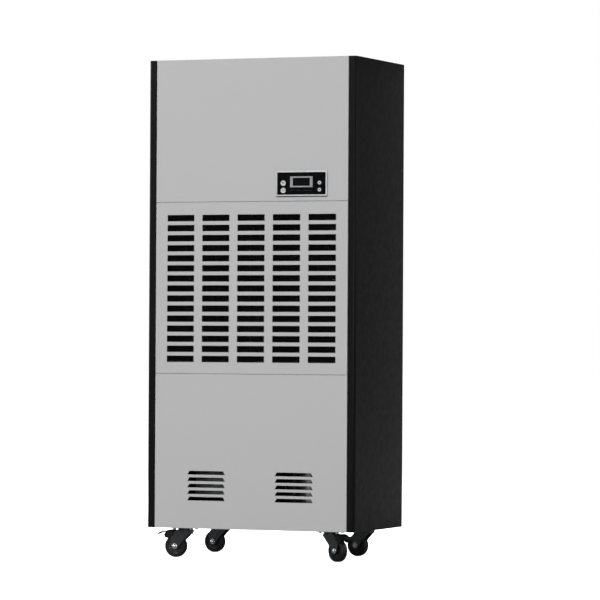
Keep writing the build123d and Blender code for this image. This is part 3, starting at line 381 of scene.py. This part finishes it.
# ---------------------------------------------------------------- casters
JOINTS = {joint["name"]: joint for joint in frame["joints"]}
TYRE_HALF = [
    (27.6, -11.8), (30.6, -12.0), (31.0, -11.5), (32.4, -11.5), (32.8, -12.0), (34.2, -11.5),
    (35.6, -10.4), (36.5, -8.8), (36.95, -6.6), (37.0, -4.0), (37.0, -0.4), (36.75, -0.2),
]
HUB_HALF = [
    (4.2, -13.1), (8.2, -13.1), (9.0, -12.4), (9.0, -9.0), (9.6, -8.4), (23.6, -8.4),
    (24.6, -8.9), (25.2, -11.0), (25.8, -11.5), (27.7, -11.5),
]
SPOKES = 6
CAP_NUT = [(0.0, 0.0), (6.0, 0.0), (6.0, 3.8), (5.5, 5.2), (4.3, 6.3), (2.4, 7.0), (0.0, 7.2)]
HEX_COLLAR = [(0.0, 0.0), (7.5, 0.0), (7.5, 3.2), (6.5, 4.0), (0.0, 4.0)]
WASHER = [(5.0, 0.0), (8.6, 0.0), (8.8, 0.3), (8.6, 0.8), (5.0, 0.8)]
LEG_FACE = 16.0  # half the width over the fork's legs
WASHER_THICKNESS = 0.8
RIB_START, RIB_FINISH = (3.0, 0.0, 80.0), (29.0, 0.0, 47.0)  # of the rib pressed in a leg
RIB_HALF_DEPTH, RIB_HALF_WIDTH = 0.7, 3.6


def caster_frame(corner):
    """Matrix of a caster's own axes: its swivel axis at the origin, trailing to +X."""
    swivel = Vector(JOINTS[f"{corner}_swivel"]["pos_m"])
    axle = Vector(JOINTS[f"{corner}_roll"]["pos_m"])
    across = Vector(JOINTS[f"{corner}_roll"]["axis"])
    along = Vector((across.y, -across.x, 0.0))
    place = Matrix((along, across, Vector((0.0, 0.0, 1.0)))).transposed().to_4x4()
    place.translation = (swivel.x, swivel.y, 0.0)
    return place, place.inverted() @ axle


def wheel(corner):
    """Tyre with moulded rings and a parting line, and a spoked hub."""
    place, axle = caster_frame(corner)
    turn = place @ Matrix.Translation(axle) @ Matrix.Rotation(-math.pi / 2, 4, "X")
    tyre = bmesh.new()
    lathe(tyre, mirrored(TYRE_HALF), 96, turn)
    piece = new_object(
        f"tyre_{corner}", from_bmesh(f"tyre_{corner}", tyre), f"roller_{corner}",
        MATERIALS["wheel_rubber"],
    )
    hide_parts(f"wheel_{corner}")
    hub = bmesh.new()
    lathe(hub, mirrored(HUB_HALF), 72, turn)
    for i in range(SPOKES):
        spin = turn @ Matrix.Rotation(2 * math.pi * i / SPOKES, 4, "Z")
        for low, high in ((-10.9, -8.2), (8.2, 10.9)):
            placed_block(hub, (8.8, -1.1, low), (25.0, 1.1, high), spin)
    soften(
        new_object(
            f"hub_{corner}", from_bmesh(f"hub_{corner}", hub), f"roller_{corner}",
            HUB,
        ),
        0.35,
    )


def axle_hardware(corner):
    """Bright zinc washer and cap nut at each end of the axle."""
    place, axle = caster_frame(corner)
    shape = bmesh.new()
    for side in (-1, 1):
        end = place @ Matrix.Translation(axle + mm(0.0, side * LEG_FACE, 0.0))
        end = end @ Matrix.Rotation(-side * math.pi / 2, 4, "X")
        lathe(shape, millimetre_profile(WASHER), 48, end)
        lift = end @ Matrix.Translation(mm(0.0, 0.0, WASHER_THICKNESS))
        lathe(shape, millimetre_profile(HEX_COLLAR), 6, lift)
        lathe(shape, millimetre_profile(CAP_NUT), 32, lift)
    piece = new_object(
        f"axle_nuts_{corner}", from_bmesh(f"axle_nuts_{corner}", shape), f"swivel_{corner}",
        ZINC,
    )
    soften(piece, 0.2)


def fork_pressing(corner):
    """Stiffening rib pressed in each leg, and the rolled edge of the fork's head."""
    place, _ = caster_frame(corner)
    shape = bmesh.new()
    start, finish = mm(*RIB_START), mm(*RIB_FINISH)
    slope = math.atan2(start.z - finish.z, finish.x - start.x)
    for side in (-1, 1):
        run = place @ Matrix.Translation(start + mm(0.0, side * LEG_FACE, 0.0))
        run = run @ Matrix.Rotation(slope, 4, "Y")
        length = (finish - start).length / MM
        low = (0.0, -RIB_HALF_DEPTH, -RIB_HALF_WIDTH)
        placed_block(shape, low, (length, RIB_HALF_DEPTH, RIB_HALF_WIDTH), run)
    head = [(24.4, 87.6), (26.0, 87.6), (26.5, 88.4), (26.5, 90.6), (26.0, 91.4), (24.4, 91.4)]
    lathe(shape, millimetre_profile(head), 64, place)
    piece = new_object(
        f"fork_pressing_{corner}", from_bmesh(f"fork_pressing_{corner}", shape),
        f"swivel_{corner}", MATERIALS["caster_plate_coat"],
    )
    soften(piece, 0.6, 3)


PEDAL_RIBS = (  # distance behind the swivel axis, height of the plate, half width
    (59.0, 88.9, 15.0), (62.5, 87.6, 15.0), (66.0, 86.3, 12.5),
    (72.0, 85.1, 9.5), (76.0, 84.7, 9.5), (80.0, 84.4, 9.0), (84.0, 84.0, 9.0), (88.0, 82.8, 8.5),
)


def pedal_grip(corner):
    """Ribs moulded across a brake pedal."""
    place, _ = caster_frame(corner)
    shape = bmesh.new()
    for s, z, half in PEDAL_RIBS:
        placed_block(shape, (s - 0.7, -half, z - 0.6), (s + 0.7, half, z + 0.9), place)
    piece = new_object(
        f"pedal_grip_{corner}", from_bmesh(f"pedal_grip_{corner}", shape), f"pedal_{corner}",
        MATERIALS["pedal_plastic"],
    )
    soften(piece, 0.3)


# ---------------------------------------------------------------- filter and coils
STRAND_PITCH, STRAND_WIDTH, STRAND_HALF = 1.6, 0.85, 0.17


def filter_weave():
    """The filter's mesh as crossing strands."""
    low, high = (Vector(v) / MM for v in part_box("filter_mesh"))
    middle = (low.y + high.y) / 2
    shape = bmesh.new()
    half = STRAND_WIDTH / 2
    for i in range(1, int((high.x - low.x) / STRAND_PITCH)):
        x = low.x + i * STRAND_PITCH
        y = middle - STRAND_HALF
        add_block(
            shape, mm(x - half, y - STRAND_HALF, low.z), mm(x + half, y + STRAND_HALF, high.z)
        )
    for i in range(1, int((high.z - low.z) / STRAND_PITCH)):
        z = low.z + i * STRAND_PITCH
        y = middle + STRAND_HALF
        add_block(
            shape, mm(low.x, y - STRAND_HALF, z - half), mm(high.x, y + STRAND_HALF, z + half)
        )
    piece = new_object(
        "filter_weave", from_bmesh("filter_weave", shape), "grille", MATERIALS["mesh"]
    )
    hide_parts("filter_mesh")


FIN_SPACING, FIN_THICKNESS, FIN_FOLDS, FIN_WAVE = 2.4, 0.22, 10, 0.45


def coil_fins(node):
    """Closely spaced corrugated aluminium fins of one coil."""
    low, high = (Vector(v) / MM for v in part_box(node))
    shape = bmesh.new()
    for i in range(int((high.x - low.x) / FIN_SPACING)):
        x = low.x + FIN_WAVE + i * FIN_SPACING
        rows = []
        for k in range(FIN_FOLDS + 1):
            y = low.y + (high.y - low.y) * k / FIN_FOLDS
            bend = x + (FIN_WAVE if k % 2 else -FIN_WAVE) * 0.8
            sides = (bend - FIN_THICKNESS / 2, bend + FIN_THICKNESS / 2)
            rows.append([shape.verts.new(mm(a, y, z)) for a in sides for z in (low.z, high.z)])
        for here, there in zip(rows, rows[1:]):
            for a, b in ((0, 1), (1, 3), (3, 2), (2, 0)):
                shape.faces.new((here[a], here[b], there[b], there[a]))
        for a, b, c, d in (rows[0], rows[-1]):
            shape.faces.new((a, b, d, c))
    name = node.replace("fins", "fin_pack")
    mesh = from_bmesh(name, shape)
    piece = new_object(name, mesh, "cabinet", MATERIALS["fin_stock"])
    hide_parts(node)


# ---------------------------------------------------------------- controller
SYMBOL_LOW, SYMBOL_HIGH = -0.2, 0.15  # a button symbol's underside and top, from the dish


def facing(x, y, z):
    """Matrix that turns +Z to the front, at a place in millimetres."""
    return Matrix.Translation(mm(x, y, z)) @ Matrix.Rotation(math.pi / 2, 4, "X")


def push_button(node):
    """Cap with a rolled rim and a shallow dish that holds its symbol."""
    low, high = (Vector(v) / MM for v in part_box(node))
    x, z = (low.x + high.x) / 2, (low.z + high.z) / 2
    radius = (high.x - low.x) / 2 - 1.2
    height = high.y - low.y
    profile = [
        (0.0, 0.0), (radius, 0.0), (radius, height - 0.9), (radius - 0.25, height - 0.3),
        (radius - 0.8, height), (radius - 1.4, height - 0.05), (radius - 1.9, height - 0.35),
        (0.0, height - 0.4),
    ]
    shape = bmesh.new()
    lathe(shape, millimetre_profile(profile), 64, facing(x, high.y, z))
    body = f"{node}_body"
    piece = new_object(
        f"cap_{node}", from_bmesh(f"cap_{node}", shape), body,
        MATERIALS["button_plastic"],
    )
    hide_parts(node)
    face = facing(x, low.y + 0.4, z)
    marks = bmesh.new()
    if node == "button_mode":
        for row, half in ((2.2, 4.6), (-2.2, 4.2)):
            placed_block(
                marks, (-half, row - 0.8, SYMBOL_LOW), (half, row + 0.8, SYMBOL_HIGH), face
            )
    elif node == "button_power":
        dot = [(0.0, SYMBOL_LOW), (1.7, SYMBOL_LOW), (1.7, SYMBOL_HIGH), (0.0, SYMBOL_HIGH)]
        for dx in (-3.0, 3.0):
            lathe(
                marks, millimetre_profile(dot), 24, face @ Matrix.Translation(mm(dx, 1.1, 0.0))
            )
        placed_block(marks, (-0.6, -4.6, SYMBOL_LOW), (0.6, -0.6, SYMBOL_HIGH), face)
        placed_block(marks, (-2.2, -4.9, SYMBOL_LOW), (2.2, -4.1, SYMBOL_HIGH), face)
    else:
        tip = 1 if node == "button_up" else -1
        outline = [(-2.9, -1.9 * tip), (2.9, -1.9 * tip), (0.0, 2.8 * tip)]
        levels = [
            [marks.verts.new(face @ mm(a, b, level)) for a, b in outline]
            for level in (SYMBOL_LOW, SYMBOL_HIGH)
        ]
        for level in levels:
            marks.faces.new(level)
        for i in range(3):
            j = (i + 1) % 3
            marks.faces.new((levels[0][i], levels[0][j], levels[1][j], levels[1][i]))
    name = f"symbol_{node}"
    new_object(name, from_bmesh(name, marks), body, DARK_INK)


DIGIT_COLUMNS = (-18.0, -5.5, 7.0, 19.5)
ROW_DROP = 22.6  # from the middle of the controller's face down to the row of ticks
SEGMENTS = (  # one digit's seven bars: low x, low z, high x, high z
    (-3.0, 6.6, 3.0, 7.6), (-3.0, -0.5, 3.0, 0.5), (-3.0, -7.6, 3.0, -6.6),
    (-4.0, 0.9, -3.0, 6.4), (3.0, 0.9, 4.0, 6.4), (-4.0, -6.4, -3.0, -0.9), (3.0, -6.4, 4.0, -0.9),
)
ROW_MARKS = (  # faint row under the display: centre, half width, half height
    (-36.0, 1.8, 0.5), (-31.0, 1.0, 1.0), (-26.0, 1.6, 0.5), (-16.0, 0.5, 1.0),
    (-12.0, 2.2, 0.45), (-5.0, 2.2, 0.45), (10.0, 1.0, 1.0), (15.5, 1.6, 0.5),
    (22.0, 1.0, 1.0), (28.5, 0.5, 1.1), (33.0, 1.7, 0.5),
)


def panel_marks():
    """Unlit digits behind the window, the row of ticks, and a black rubber strip under the rim as painted shadow
    of the rim.
    """
    low, high = (Vector(v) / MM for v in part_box("display_window"))
    centre = facing((low.x + high.x) / 2, low.y, (low.z + high.z) / 2)
    digits = bmesh.new()
    for column in DIGIT_COLUMNS:
        for x0, z0, x1, z1 in SEGMENTS:
            placed_block(digits, (column + x0, z0, -0.2), (column + x1, z1, 0.05), centre)
    new_object("ghost_digits", from_bmesh("ghost_digits", digits), "cabinet", GHOST)

    low, high = (Vector(v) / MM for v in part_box("control_face"))
    middle = (low.x + high.x) / 2
    row = facing(middle, low.y, (low.z + high.z) / 2 - ROW_DROP)
    ticks = bmesh.new()
    for x, half, tall in ROW_MARKS:
        placed_block(ticks, (x - half, -tall, -0.2), (x + half, tall, 0.06), row)
    new_object("tick_row", from_bmesh("tick_row", ticks), "cabinet", PALE_INK)

    low, high = (Vector(v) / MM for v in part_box("control_bezel"))
    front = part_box("upper_front_panel")[0][1] / MM
    # Painted shadow: a thin black rubber strip below the bezel's lower rim stands in for the shadow line that the
    # rim casts.
    shadow_strip = bmesh.new()
    add_block(
        shadow_strip, mm(low.x + 0.5, front - 1.6, low.z - 2.4), mm(high.x - 0.5, front + 0.3, low.z + 0.6)
    )
    piece = new_object(
        "painted_shadow_strip", from_bmesh("painted_shadow_strip", shadow_strip), "cabinet", MATERIALS["rubber"]
    )
    soften(piece, 0.5)


for corner in ("front_left", "front_right", "rear_left", "rear_right"):
    wheel(corner)
    axle_hardware(corner)
    fork_pressing(corner)
for corner in ("front_left", "front_right"):
    pedal_grip(corner)
filter_weave()
coil_fins("evaporator_fins")
coil_fins("condenser_fins")
for node in ("button_power", "button_mode", "button_up", "button_down"):
    push_button(node)
panel_marks()


# ---------------------------------------------------------------- studio
AMBIENT_FRONT, AMBIENT_BACK = 0.36, 0.06  # light from around, except as the camera sees it
BACK_EDGE, FRONT_EDGE = 0.5, -0.6  # directions' Y between which the light around fades
FLOOR_GLOW = 0.9  # what makes the floor read as white paper
FLOOR_BOUNCE = 0.32  # how much of the light the floor throws back on the object
LIGHTS = {  # name: (place, target, (width, height), watts)
    "key": ((-3.4, -6.2, 4.6), (0.0, 0.0, 0.7), (3.4, 3.4), 268.0),
    "fill": ((2.2, -7.5, 0.9), (0.0, 0.0, 0.35), (3.0, 1.8), 228.0),
    "sky": ((0.0, 0.0, 6.5), (0.0, 0.0, 0.0), (6.0, 6.0), 200.0),
    "back": ((-2.0, 5.0, 3.4), (0.0, 0.2, 0.8), (3.0, 3.0), 240.0),
    "left": ((-5.5, 1.2, 2.4), (-0.37, 0.0, 0.8), (2.5, 2.5), 150.0),
    "right": ((5.5, 1.6, 2.8), (0.37, 0.0, 0.8), (2.5, 2.5), 110.0),
    "strip": ((0.53, 0.68, 0.9), (0.37, 0.3, 0.9), (0.05, 1.6), 0.34),
}


def studio():
    """Pale floor that runs to a white horizon, and soft lights that the camera doesn't see."""
    floor = bmesh.new()
    bmesh.ops.create_grid(floor, x_segments=1, y_segments=1, size=60.0)
    mesh = from_bmesh("studio_floor", floor)
    paper = Surface("paper", (0.9, 0.9, 0.9), 0.8, specular=0.1)
    paper.tint(0.6, 0.1, (0.88, 0.88, 0.88))
    paper.shader.inputs["Emission Color"].default_value = (1.0, 1.0, 1.0, 1.0)
    paper.shader.inputs["Emission Strength"].default_value = FLOOR_GLOW
    bounce = paper.tree.nodes.new("ShaderNodeBsdfDiffuse")
    bounce.inputs["Color"].default_value = (FLOOR_BOUNCE, FLOOR_BOUNCE, FLOOR_BOUNCE, 1.0)
    split = paper.tree.nodes.new("ShaderNodeMixShader")
    seen = paper.tree.nodes.new("ShaderNodeLightPath").outputs["Is Camera Ray"]
    paper.link(seen, split.inputs["Fac"])
    paper.link(bounce.outputs["BSDF"], split.inputs[1])
    paper.link(paper.shader.outputs["BSDF"], split.inputs[2])
    paper.link(split.outputs["Shader"], paper.tree.nodes["Material Output"].inputs["Surface"])
    mesh.materials.append(paper.material)
    ground = bpy.data.objects.new("studio_floor", mesh)
    scene.collection.objects.link(ground)

    world = bpy.data.worlds.new("studio")
    world.use_nodes = True
    tree = world.node_tree
    around = tree.nodes["Background"]
    around.inputs["Color"].default_value = (1.0, 1.0, 1.0, 1.0)
    direction = tree.nodes.new("ShaderNodeSeparateXYZ")
    tree.links.new(
        tree.nodes.new("ShaderNodeTexCoord").outputs["Generated"], direction.inputs["Vector"]
    )
    falloff = tree.nodes.new("ShaderNodeMapRange")
    falloff.inputs["From Min"].default_value = FRONT_EDGE
    falloff.inputs["From Max"].default_value = BACK_EDGE
    falloff.inputs["To Min"].default_value = AMBIENT_FRONT
    falloff.inputs["To Max"].default_value = AMBIENT_BACK
    tree.links.new(direction.outputs["Y"], falloff.inputs["Value"])
    tree.links.new(falloff.outputs["Result"], around.inputs["Strength"])
    seen = tree.nodes.new("ShaderNodeBackground")
    seen.inputs["Color"].default_value = (1.0, 1.0, 1.0, 1.0)
    path = tree.nodes.new("ShaderNodeLightPath")
    mixed = tree.nodes.new("ShaderNodeMixShader")
    tree.links.new(path.outputs["Is Camera Ray"], mixed.inputs["Fac"])
    tree.links.new(around.outputs["Background"], mixed.inputs[1])
    tree.links.new(seen.outputs["Background"], mixed.inputs[2])
    tree.links.new(mixed.outputs["Shader"], tree.nodes["World Output"].inputs["Surface"])
    scene.world = world

    for name, (place, target, size, watts) in LIGHTS.items():
        lamp = bpy.data.lights.new(name, "AREA")
        lamp.shape = "RECTANGLE"
        lamp.size, lamp.size_y = size
        lamp.energy = watts
        holder = bpy.data.objects.new(name, lamp)
        holder.location = place
        aim = Vector(target) - Vector(place)
        holder.rotation_euler = aim.to_track_quat("-Z", "Y").to_euler()
        holder.visible_camera = False
        holder.visible_glossy = name != "back"  # its mirror image would whiten the top
        scene.collection.objects.link(holder)


CAMERA_PLACE = (4.8137, -11.49, 0.7313)
CAMERA_TURN = (22.3925, 0.5831, 0.3016)  # yaw, pitch and roll in degrees
LENS_LENGTH, SENSOR_WIDTH = 223.591, 36.0  # millimetres


def camera():
    """Long lens, a little above knee height, from the front right."""
    yaw, pitch, roll = (math.radians(angle) for angle in CAMERA_TURN)
    lens = bpy.data.cameras.new("camera")
    lens.sensor_width = SENSOR_WIDTH
    lens.lens = LENS_LENGTH
    lens.clip_end = 100.0
    eye = bpy.data.objects.new("camera", lens)
    eye.rotation_mode = "QUATERNION"
    turn = Matrix.Rotation(yaw, 3, "Z") @ Matrix.Rotation(math.pi / 2 + pitch, 3, "X")
    eye.rotation_quaternion = (turn @ Matrix.Rotation(roll, 3, "Z")).to_quaternion()
    eye.location = CAMERA_PLACE
    scene.collection.objects.link(eye)
    scene.camera = eye


studio()
camera()
scene.view_settings.view_transform = "Standard"
scene.view_settings.look = "None"
